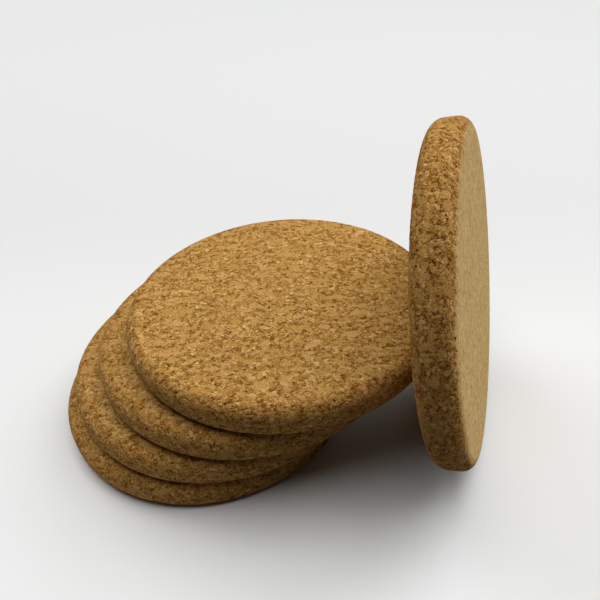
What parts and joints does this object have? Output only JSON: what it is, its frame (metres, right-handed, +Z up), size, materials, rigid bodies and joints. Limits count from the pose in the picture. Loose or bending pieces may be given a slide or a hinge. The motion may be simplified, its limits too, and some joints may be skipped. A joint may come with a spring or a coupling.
{
  "type": "cork table mat set",
  "caption": "Loose round cork table mats with rounded rims, fanned out in a stack, with another mat standing on its rim and leaning on them; they protect a table from hot or wet cups.",
  "frame": {"origin": "middle of the bottom mat's underside, on the table", "axes": "+Z up, +X the way the stack fans out, towards the leaning mat, +Y to the back"},
  "size_m": [0.139, 0.1003, 0.0912],
  "materials": {
    "cork": "raw agglomerated cork, pressed granules with open pores, matte"
  },
  "bodies": {
    "bottom_mat": {"bottom_mat": "cork"},
    "second_mat": {"second_mat": "cork"},
    "third_mat": {"third_mat": "cork"},
    "top_mat": {"top_mat": "cork"},
    "leaning_mat": {"leaning_mat": "cork"}
  },
  "joints": [
    {"name": "second_mat_lift", "type": "slide", "parent": "bottom_mat", "child": "second_mat", "axis": [-0.342, 0, 0.9397], "range_m": [0, 0.12]},
    {"name": "third_mat_lift", "type": "slide", "parent": "second_mat", "child": "third_mat", "axis": [-0.342, 0, 0.9397], "range_m": [0, 0.12]},
    {"name": "top_mat_lift", "type": "slide", "parent": "third_mat", "child": "top_mat", "axis": [-0.342, 0, 0.9397], "range_m": [0, 0.12]},
    {"name": "leaning_mat_lift", "type": "slide", "parent": "bottom_mat", "child": "leaning_mat", "axis": [0, 0, 1], "range_m": [0, 0.12]}
  ]
}
